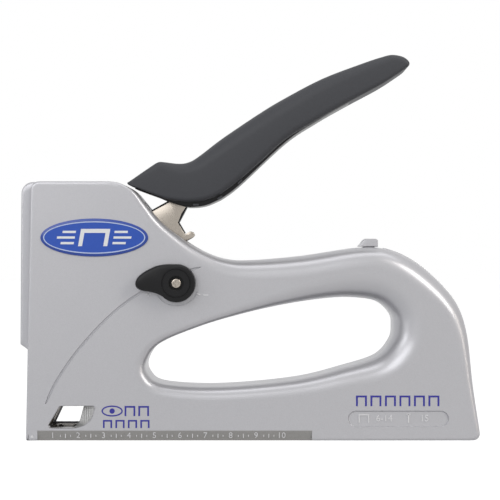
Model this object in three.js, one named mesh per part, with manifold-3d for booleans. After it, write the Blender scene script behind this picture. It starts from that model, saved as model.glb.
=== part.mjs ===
// A hand staple gun: two housing shells with a finger hole, a squeeze handle on a folded steel
// lever, a spring-driven striker, a power knob and a staple magazine that draws out to the rear.
// Millimetres, +Z up. The base stands on z = 0, the nose points to -X and y = 0 is the seam.
import * as THREE from 'three';
import { mergeVertices } from 'three/addons/utils/BufferGeometryUtils.js';
import Module from 'manifold-3d';

const wasm = await Module();
wasm.setup();

// ---- driving dimensions ------------------------------------------------------------------
const bodyLength = 178.8;
const bodyWidth = 27;
const headHeight = 102.1;
const gripHeight = 70.9;
const holeFloor = 20.9;
const holeRoof = 56.2;
const wall = 2.2;
const edgeRadius = 2;
const seamGap = 0.2;
const fit = 0.3;

const coverWidth = 14;
const coverProud = 3.2;
const coverFoot = 35;
const tongueWidth = 11;
const nosePlateWidth = 17;
const nosePlateThickness = 1.5;
const bladeThickness = 1.2;
const bladeWidth = 11.2;

const crownWidth = 11.3;
const stapleWire = 1.3;
const channelWall = 1.2;
const channelFloor = 0.9;
const railWall = 1.1;
const pusherLength = 2.6;
const pusherRodRadius = 0.7;
const pusherSpringRadius = 1.5;
const drawerEndDepth = 7.7;

const plungerSize = 15;
const plungerBottom = 44;
const plungerTop = 77;
const mainSpringRadius = 5.5;
const mainSpringWire = 2;
const bumperHeight = 5.6;
const shelfThickness = 3.4;
const ribThickness = 2;
const firstRib = 3.6;

const pivotPinRadius = 2.5;
const leverWidth = 8.8;
const leverPlate = 1.5;
const toeRadius = 35;
const toeAngle = THREE.MathUtils.degToRad(35);
const toeHalf = 2.8;
const rollerRadius = 3.5;
const rollerPinRadius = 1.3;

const gripWidth = 25;
const coreWidth = 19;
const rivetRadius = 2;

const knobHubRadius = 7.5;
const knobTail = 13.9;
const knobTailRadius = 2.9;
const knobThickness = 5.5;
const shaftRadius = 3;
const knobScrewRadius = 1.1;

const screwRadius = 1.4;
const screwHeadRadius = 2.9;
const screwHeadThickness = 2.7;
const screwSunk = 1.5;
const crossHalfWidth = 0.35;
const bossRadius = 3.8;

const badgeHalfLength = 21.4;
const badgeHalfHeight = 7.6;
const badgeThickness = 0.5;
const spineWidth = 8;
const spineProud = 0.4;
const spineDepth = 0.8;

// ---- places that follow from them --------------------------------------------------------
const front = -bodyLength / 2;
const rear = bodyLength / 2;
const halfBody = bodyWidth / 2;
const inner = halfBody - wall;
const gripFront = front + 62.7;
const gripRear = rear - 46.4;
const holeFront = front + 47.1;
const holeRear = rear - 33.4;
const holeMid = (holeFloor + holeRoof) / 2;

const nosePlateFront = front + wall + fit;
const bladeFront = nosePlateFront + nosePlateThickness + fit;
const strikerFront = bladeFront + bladeThickness + fit;
const strikerMid = strikerFront + plungerSize / 2;
const strikerRear = strikerFront + plungerSize;
const springSeat = plungerTop - 8;
const capBottom = headHeight - wall - 2.5;

const channelTop = holeFloor - wall - fit;
const channelHalf = crownWidth / 2 + fit + channelWall;
const railTop = channelTop - channelWall - stapleWire - fit;
const railHalf = crownWidth / 2 - stapleWire - 0.25;
const channelRear = rear - 11.4;
const drawerFront = rear - 10.1;
const pusherSpringZ = channelFloor + 2.7;
const latchFront = drawerFront + 1.5;

const pivot = { x: front + 45.4, z: headHeight - 21.6 };
const toe = {
  x: pivot.x - toeRadius * Math.cos(toeAngle),
  z: pivot.z - toeRadius * Math.sin(toeAngle),
};
const plateInside = leverWidth / 2 - leverPlate;
const leverGap = leverWidth / 2 + 0.5;
const knob = { x: front + 59.4, z: headHeight - 40.1 };
const knobBack = -(halfBody + fit);
const knobFace = knobBack - knobThickness;
const lockFront = rear - 47.5;
const windowTop = 13.7;
const windowBottom = 4.8;
const through = 40;

const screwPlaces = [
  { x: front + 27.4, z: headHeight - 9.6 },
  { x: front + 32.4, z: 30 },
  { x: THREE.MathUtils.lerp(gripFront, gripRear, 0.27), z: gripHeight - 10.9 },
  { x: rear - 29.4, z: gripHeight - 8.9 },
  { x: rear - 18.4, z: 32 },
];

// ---- materials ---------------------------------------------------------------------------
function finish(color, roughness, metalness) {
  return new THREE.MeshStandardMaterial({ color, roughness, metalness });
}
const silverPaint = finish('#b9babd', 0.42, 0.55);
const charcoal = finish('#42444a', 0.65, 0);
const blackPlastic = finish('#17181a', 0.4, 0);
const nickel = finish('#a79f95', 0.28, 1);
const springSteel = finish('#8d8f92', 0.35, 1);
const darkRubber = finish('#222224', 0.85, 0);
const badgeBlue = finish('#2148b8', 0.3, 0);

// ---- shape helpers -----------------------------------------------------------------------
function solid(geometry) {
  const bare = geometry.index ? geometry.toNonIndexed() : geometry.clone();
  bare.deleteAttribute('normal');
  bare.deleteAttribute('uv');
  const merged = mergeVertices(bare, 1e-4);
  return new wasm.Manifold(new wasm.Mesh({
    numProp: 3,
    vertProperties: merged.attributes.position.array,
    triVerts: new Uint32Array(merged.index.array),
  }));
}

function toGeometry(made) {
  const mesh = made.getMesh();
  const geometry = new THREE.BufferGeometry();
  geometry.setAttribute('position', new THREE.BufferAttribute(new Float32Array(mesh.vertProperties), 3));
  geometry.setIndex(new THREE.BufferAttribute(new Uint32Array(mesh.triVerts), 1));
  geometry.computeVertexNormals();
  return geometry;
}

function point(x, z) {
  return new THREE.Vector2(x, z);
}

// A block between two corners.
function block(x0, x1, y0, y1, z0, z1) {
  const geometry = new THREE.BoxGeometry(x1 - x0, y1 - y0, z1 - z0);
  return solid(geometry.translate((x0 + x1) / 2, (y0 + y1) / 2, (z0 + z1) / 2));
}

// A block that spans the seam evenly.
function across(x0, x1, halfWidth, z0, z1) {
  return block(x0, x1, -halfWidth, halfWidth, z0, z1);
}

// A round bar along Y, between two widths, at a place in the side view.
function bar(place, radius, y0, y1, sides = 24) {
  const geometry = new THREE.CylinderGeometry(radius, radius, y1 - y0, sides);
  return solid(geometry.translate(place.x, (y0 + y1) / 2, place.z));
}

// A side-view outline (x, z) given a thickness along Y; bevel rounds both its faces.
function plate(outline, y0, y1, { holes = [], bevel = 0, segments = 2 } = {}) {
  const shape = new THREE.Shape(outline);
  shape.holes = holes.map((hole) => new THREE.Path(hole));
  const geometry = new THREE.ExtrudeGeometry(shape, {
    depth: y1 - y0 - 2 * bevel,
    bevelEnabled: bevel > 0,
    bevelThickness: bevel,
    bevelSize: bevel,
    bevelOffset: -bevel,
    bevelSegments: segments,
    steps: 1,
  });
  return solid(geometry.rotateX(Math.PI / 2).translate(0, y1 - bevel, 0));
}

// Moves each point of a closed counter-clockwise outline outwards.
function grow(outline, distance) {
  return outline.map((here, i) => {
    const before = outline[(i + outline.length - 1) % outline.length];
    const after = outline[(i + 1) % outline.length];
    const a = here.clone().sub(before).normalize();
    const b = after.clone().sub(here).normalize();
    const normal = point(a.y + b.y, -a.x - b.x);
    return here.clone().add(normal.multiplyScalar(distance / (1 + a.dot(b))));
  });
}

// Points along an arc from one angle to another, in degrees.
function arc(centre, radius, from, to, steps) {
  const points = [];
  for (let i = 0; i <= steps; i += 1) {
    const angle = THREE.MathUtils.degToRad(THREE.MathUtils.lerp(from, to, i / steps));
    points.push(point(centre.x + radius * Math.cos(angle), centre.z + radius * Math.sin(angle)));
  }
  return points;
}

function smooth(points, steps) {
  return new THREE.SplineCurve(points).getPoints(steps);
}

// A coil of wire round an axis, from one end to the other, with its end turns closed up.
function coil(radius, wire, turns, length, stepsPerTurn, sides) {
  class Helix extends THREE.Curve {
    getPoint(t, target = new THREE.Vector3()) {
      const angle = t * turns * 2 * Math.PI;
      const middle = radius - wire / 2;
      return target.set(middle * Math.cos(angle), middle * Math.sin(angle), wire / 2 + t * (length - wire));
    }
  }
  const section = new THREE.Shape();
  section.absarc(0, 0, wire / 2, 0, 2 * Math.PI, false);
  return new THREE.ExtrudeGeometry(new THREE.Shape(section.getPoints(sides / 2).slice(0, -1)), {
    steps: Math.round(turns * stepsPerTurn),
    bevelEnabled: false,
    extrudePath: new Helix(),
  });
}

const gun = new THREE.Group();

function add(name, made, material) {
  const mesh = new THREE.Mesh(made.isBufferGeometry ? made : toGeometry(made), material);
  mesh.name = name;
  gun.add(mesh);
}

// ---- the housing's outlines --------------------------------------------------------------
function gripX(share) {
  return THREE.MathUtils.lerp(gripFront, gripRear, share);
}

// From the slanted back of the head, over the grip and down the rear to the base.
function gripOutline() {
  return smooth([
    point(gripX(0), gripHeight + 7.7),
    point(gripX(0.112), gripHeight + 3.2),
    point(gripX(0.228), gripHeight + 0.5),
    point(gripX(0.366), gripHeight),
    point(gripX(0.654), gripHeight + 1.7),
    point(gripRear, gripHeight + 5.1),
    point(rear - 34.3, gripHeight + 3.7),
    point(rear - 22.3, gripHeight - 2.7),
    point(rear - 10.2, gripHeight - 14.8),
    point(rear - 5, gripHeight - 27.6),
    point(rear - 2.6, gripHeight - 49.3),
    point(rear - 0.3, 5.2),
  ], 46);
}

function headOutline() {
  const topRadius = wall + 1.1;
  const baseRadius = wall + 0.4;
  const topCorner = { x: front + 1.9 + topRadius, z: headHeight - topRadius };
  return [
    ...arc({ x: front + baseRadius, z: baseRadius }, baseRadius, 181, 270, 4),
    ...arc({ x: rear - baseRadius, z: baseRadius }, baseRadius, -90, -10, 4),
    ...gripOutline().reverse(),
    point(front + 53.4, headHeight - 16.3),
    point(front + 47.7, headHeight - 9.8),
    ...smooth([
      point(front + 43.8, headHeight - 5.1),
      point(front + 41, headHeight - 2.7),
      point(front + 36.5, headHeight - 0.6),
      point(front + 32.4, headHeight),
    ], 6),
    ...arc(topCorner, topRadius, 90, 178, 4),
  ];
}

function holeOutline() {
  const at = (share) => THREE.MathUtils.lerp(holeFront, holeRear, share);
  const roof = (drop) => holeRoof - drop;
  const curve = new THREE.CatmullRomCurve3([
    [at(0), holeMid - 8],
    [at(0.055), roof(18.1)],
    [at(0.217), roof(11.3)],
    [at(0.377), roof(6.6)],
    [at(0.539), roof(3)],
    [at(0.701), roof(0.6)],
    [at(0.822), roof(0)],
    [at(0.93), roof(1.6)],
    [at(0.99), roof(6.6)],
    [at(0.99), holeFloor + 18.3],
    [at(0.93), holeFloor + 11.8],
    [at(0.79), holeFloor + 7.3],
    [at(0.626), holeFloor + 3.2],
    [at(0.418), holeFloor + 0.8],
    [at(0.23), holeFloor],
    [at(0.066), holeFloor + 1.2],
    [at(0.012), holeFloor + 4.4],
  ].map(([x, z]) => new THREE.Vector3(x, z, 0)), true, 'centripetal');
  const points = curve.getPoints(56).slice(0, -1);
  return points.map((p) => point(p.x, p.y)).reverse();
}

// The window: a slanted opening through both walls and the magazine.
function windowOutline(grown) {
  return grow([
    point(strikerFront + 2.9, windowBottom),
    point(strikerFront + 14.3, windowBottom),
    point(strikerFront + 16.8, windowTop),
    point(strikerFront + 7.1, windowTop),
  ], grown);
}

// A stretch of the rear seam, between two heights off the housing's own edge.
function spineOutline(low, high, extra) {
  const start = rear - 37.4 - extra;
  const end = gripHeight - 27.6 - extra;
  const edge = gripOutline().filter((p) => p.x >= start && p.y >= end);
  const line = edge.map((here, i) => {
    const before = edge[Math.max(i - 1, 0)];
    const after = edge[Math.min(i + 1, edge.length - 1)];
    const along = after.clone().sub(before).normalize();
    return { here, out: point(-along.y, along.x) };
  });
  const at = (height) => line.map(({ here, out }) => here.clone().addScaledVector(out, height));
  return [...at(high).reverse(), ...at(low)];
}

// ---- the housing -------------------------------------------------------------------------
function housing() {
  const outline = headOutline();
  const hole = holeOutline();
  let body = plate(outline, -halfBody, halfBody, { holes: [hole], bevel: edgeRadius });
  const cavity = plate(grow(outline, -wall), -inner, inner, { holes: [grow(hole, wall)] });
  body = body.subtract(cavity);
  body = body.add(insides());
  return body.subtract(openings());
}

// Bosses, ribs and shelves inside both shells.
function insides() {
  const parts = screwPlaces.map((place) => bar(place, bossRadius, -inner - 0.5, inner + 0.5, 16));
  const boss = (place, radius, from) => {
    parts.push(bar(place, radius, from, inner + 0.5, 20));
    parts.push(bar(place, radius, -inner - 0.5, -from, 20));
  };
  boss(pivot, pivotPinRadius + 3.5, leverGap + fit);
  boss(knob, shaftRadius + 2, inner - 3.8);
  const shelfTop = plungerBottom - fit - bumperHeight - fit;
  const ribRear = strikerRear + fit + ribThickness;
  parts.push(across(strikerFront, ribRear, inner + 0.5, shelfTop - shelfThickness, shelfTop));
  const guideTop = capBottom - fit;
  for (const side of [-1, 1]) {
    const rib = (x0, x1, from) => {
      const ends = [side * from, side * (inner + 0.5)].sort((a, b) => a - b);
      parts.push(block(x0, x1, ends[0], ends[1], shelfTop - 1, guideTop));
    };
    rib(strikerFront, strikerFront + firstRib, plungerSize / 2 + fit);
    rib(strikerRear + fit, ribRear, leverGap + fit);
  }
  return parts.reduce((sum, next) => sum.add(next));
}

// Everything that is cut out of the housing.
function openings() {
  const beyond = halfBody + 5;
  const cuts = [
    // the magazine's slot along the base and its mouth at the rear
    across(front - 5, rear + 5, channelHalf + fit, -5, wall + 0.5),
    across(drawerFront - fit, rear + 5, channelHalf + fit, -5, channelTop + 0.6),
    // the nose plate's pocket and the open nose in front of it
    across(nosePlateFront - fit, bladeFront, nosePlateWidth / 2 + fit, -5, coverFoot + fit),
    across(front - 5, bladeFront, nosePlateWidth / 2 - 2.5, -5, coverFoot + 3),
    // the front cover's tongue, and its seat on the top corner
    across(front - 5, bladeFront, tongueWidth / 2 + fit, coverFoot + 4.7, headHeight - 5.8),
    across(front - 5, front + 5.4 + fit, coverWidth / 2 + fit, headHeight - 3.3, headHeight + 5),
    // the lever's slot in the slanted back of the head
    across(pivot.x + 0.5, gripFront + 6.2, leverGap, gripHeight - 4.9, headHeight - 2),
    // the lock's slot on top of the grip
    across(lockFront - 3.4, lockFront + 7.1, 2.5, gripHeight - 1, gripHeight + 9),
    plate(spineOutline(-spineDepth - fit, 3, 0.3), -spineWidth / 2 - fit, spineWidth / 2 + fit),
    plate(windowOutline(0), -beyond, beyond),
    // the window's sloping recess, the rule's band and the size panel on the near side
    plate([
      point(strikerFront + 3.2, windowBottom + 0.6),
      point(strikerFront + 17.4, windowBottom + 0.6),
      point(strikerFront + 21.8, windowTop),
      point(strikerFront + 7.1, windowTop),
    ], -beyond, -halfBody + 0.8),
    block(front + 4.6, front + 112.6, -beyond, -halfBody + 0.4, -5, 4),
    plate(sizePanelOutline(), -beyond, -halfBody + 0.6),
    // the pivot pin and the knob's shaft
    bar(pivot, pivotPinRadius + fit, -inner - 0.3, inner + 0.3),
    bar(knob, shaftRadius + fit, -beyond, inner - 0.6),
  ];
  for (const place of screwPlaces) {
    cuts.push(bar(place, screwRadius + fit, -inner + 1.8, beyond, 12));
    cuts.push(bar(place, screwHeadRadius + fit, inner - screwSunk, beyond, 20));
  }
  return cuts.reduce((sum, next) => sum.add(next));
}

function sizePanelOutline() {
  const half = 3.2;
  const z = 8.6;
  return [
    ...arc({ x: rear - 52.1 + half, z }, half, 90, 270, 8),
    ...arc({ x: rear - 12.4 - half, z }, half, -90, 90, 8),
  ];
}

function addShells() {
  const body = housing();
  const far = bodyLength + headHeight;
  add('left_shell', body.intersect(block(-far, far, -far, -seamGap / 2, -far, far)), silverPaint);
  add('right_shell', body.intersect(block(-far, far, seamGap / 2, far, -far, far)), silverPaint);
}

function addFrontCover() {
  // the shells' front edge leans back towards the top, and the cover follows it
  const edge = (z) => front + 1.9 * (z / headHeight) - fit;
  const nose = front - coverProud;
  const corner = { x: nose + 0.4 + 4.7, z: headHeight - 4.7 };
  const outline = [
    point(nose, coverFoot + 2.5),
    point(edge(coverFoot), coverFoot),
    point(edge(headHeight - 3.3 + fit), headHeight - 3.3 + fit),
    point(front + 5.4, headHeight - 3.3 + fit),
    point(front + 5.4, headHeight),
    ...arc(corner, 4.7, 90, 180, 6),
  ];
  const strip = plate(outline, -coverWidth / 2, coverWidth / 2, { bevel: 0.8, segments: 1 });
  const tongue = across(front - 1, front + 3.1, tongueWidth / 2, coverFoot + 5, headHeight - 6.1);
  add('front_cover', strip.add(tongue), silverPaint);
}

function addSpineAndBadge() {
  const strip = spineOutline(-spineDepth, spineProud, 0);
  add('rear_spine', plate(strip, -spineWidth / 2, spineWidth / 2), silverPaint);
  const oval = new THREE.EllipseCurve(front + 27, headHeight - 22.2, badgeHalfLength, badgeHalfHeight);
  const edge = oval.getPoints(40).slice(0, -1);
  const back = -halfBody - 0.05;
  add('label_badge', plate(edge, back - badgeThickness, back), badgeBlue);
}

// A pan-head screw from the far side, with a cross socket in its head.
function addShellScrews() {
  screwPlaces.forEach((place, i) => {
    const seat = inner - screwSunk + 0.1;
    const top = seat + screwHeadThickness;
    let screw = bar(place, screwRadius, -inner + 2.1, seat + 0.5, 12);
    screw = screw.add(bar(place, screwHeadRadius, seat, top, 20));
    for (const [w, h] of [[1.8, crossHalfWidth], [crossHalfWidth, 1.8]]) {
      screw = screw.subtract(block(place.x - w, place.x + w, top - 1.4, top + 1, place.z - h, place.z + h));
    }
    add(`shell_screw_${i + 1}`, screw, nickel);
  });
}

// ---- nose, striker and main spring -------------------------------------------------------
function addNose() {
  const plateRear = nosePlateFront + nosePlateThickness;
  add('nose_plate', across(nosePlateFront, plateRear, nosePlateWidth / 2, 0.3, coverFoot), nickel);
}

function addStriker() {
  const half = plungerSize / 2;
  const lugZ = plungerBottom + 5.5;
  let plunger = across(strikerFront, strikerRear, half, plungerBottom, plungerTop);
  const bore = new THREE.CylinderGeometry(mainSpringRadius + 0.6, mainSpringRadius + 0.6, 20, 28);
  bore.rotateX(Math.PI / 2).translate(strikerMid, 0, springSeat + 10);
  plunger = plunger.subtract(solid(bore));
  // the roller pushes on the middle of the slot's roof, and the lever's plates pass beside it
  const roof = toe.z + rollerRadius + fit;
  const floor = toe.z - rollerRadius - 1.1;
  plunger = plunger.subtract(across(strikerFront - 1, strikerRear + 1, leverGap, floor, roof));
  for (const side of [-1, 1]) {
    const ends = [side * (plateInside - 0.6), side * leverGap].sort((a, b) => a - b);
    const slot = block(strikerFront + 2, strikerRear + 1, ends[0], ends[1], roof - 1, roof + 4);
    plunger = plunger.subtract(slot);
  }
  const lug = across(bladeFront + 0.1, strikerFront + 1, 2.5, lugZ - 2.5, lugZ + 2.5);
  add('plunger', plunger.add(lug), springSteel);

  const bladeBack = bladeFront + bladeThickness;
  let blade = across(bladeFront, bladeBack, bladeWidth / 2, 0.8, plungerBottom + 11);
  const eye = 2.5 + fit;
  blade = blade.subtract(across(bladeFront - 1, bladeBack + 1, eye, lugZ - eye, lugZ + eye));
  add('driver_blade', blade, springSteel);

  const bumperTop = plungerBottom - fit;
  const bumper = across(strikerFront + fit, strikerRear - fit, half, bumperTop - bumperHeight, bumperTop);
  add('bumper', bumper, darkRubber);
}

function addMainSpring() {
  const bottom = springSeat + fit;
  const top = capBottom - fit;
  const spring = coil(mainSpringRadius, mainSpringWire, 5, top - bottom, 14, 8);
  add('main_spring', spring.translate(strikerMid, 0, bottom), springSteel);
  const capTop = headHeight - wall - fit;
  let cap = across(strikerFront + 0.6, strikerRear - 0.6, plungerSize / 2, capBottom, capTop);
  const peg = new THREE.CylinderGeometry(3, 3, 6, 16);
  cap = cap.add(solid(peg.rotateX(Math.PI / 2).translate(strikerMid, 0, capBottom - 2)));
  add('spring_cap', cap, blackPlastic);
}

// ---- lever and handle --------------------------------------------------------------------
// The lever's plate in the side view: toe, pivot, upturned tail, and the tang inside the handle.
function leverOutline() {
  const at = (x, z) => point(pivot.x + x, pivot.z + z);
  const toeTilt = THREE.MathUtils.radToDeg(toeAngle);
  return [
    ...arc(toe, toeHalf, 90 + toeTilt, 270 + toeTilt, 8),
    at(-7, -7.2),
    ...arc(pivot, 7, 255, 290, 3),
    at(14, -4.2),
    at(17.5, -1.8),
    at(20, -0.4),
    at(20.5, 0.9),
    at(19.1, 2),
    at(16.9, 0.7),
    at(14, 5.4),
    at(17.9, 12.9),
    at(23, 17.6),
    at(34, 25.5),
    at(57, 39.5),
    at(54, 45),
    at(29, 29.5),
    at(13, 21.5),
    at(10.6, 13.6),
    at(3.5, 9.7),
    at(-3, 7.5),
    at(-8, 2.6),
  ];
}

// The web that joins the lever's two plates along its upper edge.
function leverWeb() {
  const at = (x, z) => point(pivot.x + x, pivot.z + z);
  return [
    at(3.9, 8.4),
    at(11.7, 12.8),
    at(14.2, 20.4),
    at(29.8, 28.3),
    at(50, 41),
    at(49.4, 42.2),
    at(29, 29.5),
    at(13, 21.5),
    at(10.6, 13.6),
    at(3.4, 9.6),
  ];
}

const rivetPlaces = [
  { x: pivot.x + 19, z: pivot.z + 19.2 },
  { x: pivot.x + 48, z: pivot.z + 37.6 },
];

function addLever() {
  const half = leverWidth / 2;
  const between = plate(grow(leverOutline(), 5), -plateInside, plateInside);
  let lever = plate(leverOutline(), -half, half).subtract(between);
  lever = lever.add(plate(leverWeb(), -plateInside - 0.2, plateInside + 0.2));
  lever = lever.subtract(bar(pivot, pivotPinRadius + fit, -through, through));
  lever = lever.subtract(bar(toe, rollerPinRadius + fit, -through, through, 16));
  for (const place of rivetPlaces) {
    lever = lever.subtract(bar(place, rivetRadius + fit, -through, through, 16));
  }
  add('lever_arm', lever, nickel);
  add('lever_pivot_pin', bar(pivot, pivotPinRadius, -inner, inner), nickel);

  const roller = bar(toe, rollerRadius, fit - plateInside, plateInside - fit);
  add('lift_roller', roller.subtract(bar(toe, rollerPinRadius + fit, -through, through, 16)), springSteel);
  add('roller_pin', bar(toe, rollerPinRadius, -half, half, 16), nickel);
}

function handleOutline() {
  const at = ([x, z]) => point(pivot.x + x, pivot.z + z);
  const top = smooth([
    [18.7, 29.5], [27, 35.2], [37, 42.5], [48, 50.4], [62, 58.2], [79, 65.7], [94, 70.9], [99.5, 71.7],
  ].map(at), 22);
  const tip = arc({ x: pivot.x + 103.1, z: pivot.z + 68.4 }, 3, 80, -55, 6);
  const under = smooth([
    [97, 61.4], [82, 53], [68, 45], [57.4, 38.7], [47, 29.8], [38.5, 22], [32.5, 17.5],
  ].map(at), 18);
  const heel = smooth([
    [29, 15.6], [25.5, 14.2], [21.4, 13.5], [17, 13.4], [11.3, 14.2], [7.3, 15.5],
  ].map(at), 10);
  return [
    ...[[-5.8, 20.7], [6.6, 29.5], [10.5, 28.9], [14.7, 28.7]].map(at),
    ...top, ...tip, ...under, ...heel,
  ].reverse();
}

function coreOutline() {
  const at = ([x, z]) => point(pivot.x + x, pivot.z + z);
  const under = smooth([
    [95.1, 60.1], [82.5, 53.3], [69.9, 46], [57.4, 37.7], [39.2, 20.8], [32.5, 15.6], [29.4, 13.9],
    [25.5, 12.3], [21.4, 11.6], [17, 11.7], [11.3, 13.4], [6.6, 15.6],
  ].map(at), 26);
  const top = smooth([
    [7, 23], [16, 25.2], [26, 31.5], [39, 40], [54, 49], [74, 58.5], [93, 65],
  ].map(at), 14);
  return [...under.reverse(), ...top.reverse()];
}

// The slot in the core that the lever's tang sits in.
function tangRoom() {
  const at = (x, z) => point(pivot.x + x, pivot.z + z);
  const room = [
    at(2, 8),
    at(17, 5),
    at(18.5, 12),
    at(23.6, 16.6),
    at(58, 38.8),
    at(54.6, 46),
    at(12, 22.4),
    at(9, 13.6),
  ];
  const half = leverWidth / 2 + fit;
  return plate(room, -half, half);
}

function addHandle() {
  const core = coreOutline();
  const grip = plate(handleOutline(), -gripWidth / 2, gripWidth / 2, { bevel: 2.2, segments: 2 });
  const coreRoom = plate(grow(core, fit), -coreWidth / 2 - fit, coreWidth / 2 + fit);
  add('handle_grip', grip.subtract(coreRoom).subtract(tangRoom()), charcoal);
  let made = plate(core, -coreWidth / 2, coreWidth / 2, { bevel: 1, segments: 1 }).subtract(tangRoom());
  for (const place of rivetPlaces) made = made.subtract(bar(place, rivetRadius + fit, -through, through, 16));
  add('grip_core', made, blackPlastic);
  rivetPlaces.forEach((place, i) => {
    add(`grip_rivet_${i + 1}`, bar(place, rivetRadius, -coreWidth / 2, coreWidth / 2, 16), nickel);
  });
}

// ---- power knob --------------------------------------------------------------------------
function knobOutline() {
  const tip = { x: knob.x - knobTail, z: knob.z - 0.2 };
  const upper = new THREE.QuadraticBezierCurve(
    point(knob.x - 1.3, knob.z + knobHubRadius - 0.1),
    point(knob.x - 8.5, knob.z + 6.6),
    point(tip.x + 0.6, tip.z + knobTailRadius - 0.1),
  );
  const lower = new THREE.QuadraticBezierCurve(
    point(tip.x + 0.6, tip.z - knobTailRadius + 0.1),
    point(knob.x - 8.3, knob.z - 3),
    point(knob.x - 6, knob.z - 4.5),
  );
  return [
    ...upper.getPoints(6),
    ...arc(tip, knobTailRadius, 110, 250, 6),
    ...lower.getPoints(5),
    ...arc(knob, knobHubRadius, 225, 440, 20),
  ];
}

function addKnob() {
  let made = plate(knobOutline(), knobFace, knobBack, { bevel: 1.2, segments: 2 });
  made = made.subtract(bar(knob, shaftRadius + fit, knobBack - 1.9, knobBack + 1));
  made = made.subtract(bar(knob, 2.8, knobFace - 1, knobFace + 2.2));
  made = made.subtract(bar(knob, knobScrewRadius + fit, knobFace, knobBack, 16));
  add('power_knob', made, blackPlastic);

  const head = knobFace + 2.1;
  let screw = bar(knob, knobScrewRadius, head - 0.4, knobBack + 2.5, 16);
  screw = screw.add(bar(knob, 1.95, head - 1.6, head, 20));
  for (const [w, h] of [[1.2, 0.28], [0.28, 1.2]]) {
    screw = screw.subtract(block(knob.x - w, knob.x + w, head - 3, head - 0.8, knob.z - h, knob.z + h));
  }
  add('knob_screw', screw, nickel);

  // the shaft carries a flat-sided cam between the shells
  let shaft = bar(knob, shaftRadius, knobBack - 1.6, inner - 0.9);
  const cam = plate([
    point(knob.x - shaftRadius - 1, knob.z - 2.5),
    point(knob.x + shaftRadius, knob.z - 2.5),
    point(knob.x + shaftRadius, knob.z + 2.5),
    point(knob.x - shaftRadius - 1, knob.z + 2.5),
  ], -3, 3);
  shaft = shaft.add(cam).subtract(bar(knob, knobScrewRadius + fit, knobBack - 3, knobBack + 3, 16));
  add('power_shaft', shaft, springSteel);
}

// ---- handle lock on the grip -------------------------------------------------------------
function addHandleLock() {
  const seat = gripHeight + 5.4;
  const tab = plate([
    point(lockFront, seat),
    point(lockFront + 8, seat),
    point(lockFront + 8, seat + 3.2),
    point(lockFront + 2.3, seat + 3.2),
  ], -4.5, 4.5, { bevel: 0.5, segments: 1 });
  const foot = seat - 2.9;
  const stem = across(lockFront + 2.2, lockFront + 6.8, 2.2, foot - 2, seat + 1);
  const shoe = across(lockFront + 1.2, lockFront + 7.8, 4.5, foot - 2.6, foot - 0.5);
  add('handle_lock', tab.add(stem).add(shoe), silverPaint);
}

// ---- magazine ----------------------------------------------------------------------------
function addMagazine() {
  const y = channelHalf;
  let channel = across(strikerFront, channelRear, y, 0, channelTop);
  const channelRoof = channelTop - channelWall;
  const inside = y - channelWall;
  channel = channel.subtract(across(strikerFront - 1, channelRear + 1, inside, channelFloor, channelRoof));
  channel = channel.subtract(plate(windowOutline(0.4), -through, through));
  add('magazine_channel', channel, nickel);

  const railFront = strikerFront + fit;
  const railRear = drawerFront - fit;
  let rail = across(railFront, railRear, railHalf, channelFloor + 1.5, railTop);
  rail = rail.subtract(across(railFront - 1, railRear + 1, railHalf - railWall, 0, railTop - railWall));
  rail = rail.subtract(plate(windowOutline(0.5), -through, through));
  add('magazine_rail', rail, nickel);

  const pusherHalf = crownWidth / 2 - 0.15;
  const pusherRear = railFront + pusherLength;
  const pusherFloor = channelFloor + 1.2;
  let pusher = across(railFront, pusherRear, pusherHalf, channelFloor + 0.3, channelRoof - 0.2);
  pusher = pusher.subtract(across(railFront - 1, pusherRear + 1, railHalf + 0.25, pusherFloor, railTop + 0.25));
  const tongueHalf = railHalf - railWall - 0.25;
  pusher = pusher.add(across(railFront, pusherRear, tongueHalf, channelFloor + 0.5, pusherSpringZ + 1.6));
  const bore = new THREE.CylinderGeometry(pusherRodRadius + fit, pusherRodRadius + fit, 20, 12);
  bore.rotateZ(Math.PI / 2).translate(railFront + 8, 0, pusherSpringZ);
  add('pusher', pusher.subtract(solid(bore)), blackPlastic);

  const springStart = pusherRear + fit;
  const springEnd = drawerFront - fit;
  const spring = coil(pusherSpringRadius, 0.5, 26, springEnd - springStart, 8, 4);
  spring.rotateY(Math.PI / 2).translate(springStart, 0, pusherSpringZ);
  add('pusher_spring', spring, springSteel);
  const rodStart = railFront + 0.6;
  const rodEnd = drawerFront - fit / 2;
  const rod = new THREE.CylinderGeometry(pusherRodRadius, pusherRodRadius, rodEnd - rodStart, 12);
  rod.rotateZ(Math.PI / 2).translate((rodStart + rodEnd) / 2, 0, pusherSpringZ);
  add('pusher_rod', rod, springSteel);
}

function addDrawerEnd() {
  const drawerRear = drawerFront + drawerEndDepth;
  let made = across(drawerFront, drawerRear, channelHalf, 0.4, channelTop + 0.2);
  made = made.subtract(across(latchFront, latchFront + 4, 4, 6, 40));
  made = made.subtract(across(latchFront + 3, drawerRear + 1, 2.8, 8, 15.3));
  add('drawer_end', made, blackPlastic);
  let latch = across(latchFront + fit, latchFront + 4 - fit, 4 - fit, 9, channelTop + 0.2);
  latch = latch.add(across(latchFront + 2, drawerRear + 1.2, 2.5, 10.5, 14.8));
  add('magazine_latch', latch, darkRubber);
  const spring = coil(1.5, 0.5, 3, 2.4, 8, 6);
  add('latch_spring', spring.translate(latchFront + 2, 0, 6.3), springSteel);
}

addShells();
addFrontCover();
addSpineAndBadge();
addShellScrews();
addNose();
addStriker();
addMainSpring();
addLever();
addHandle();
addKnob();
addHandleLock();
addMagazine();
addDrawerEnd();

export default gun;
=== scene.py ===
import math

import bmesh
import bpy
from mathutils import Matrix, Vector


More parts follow.
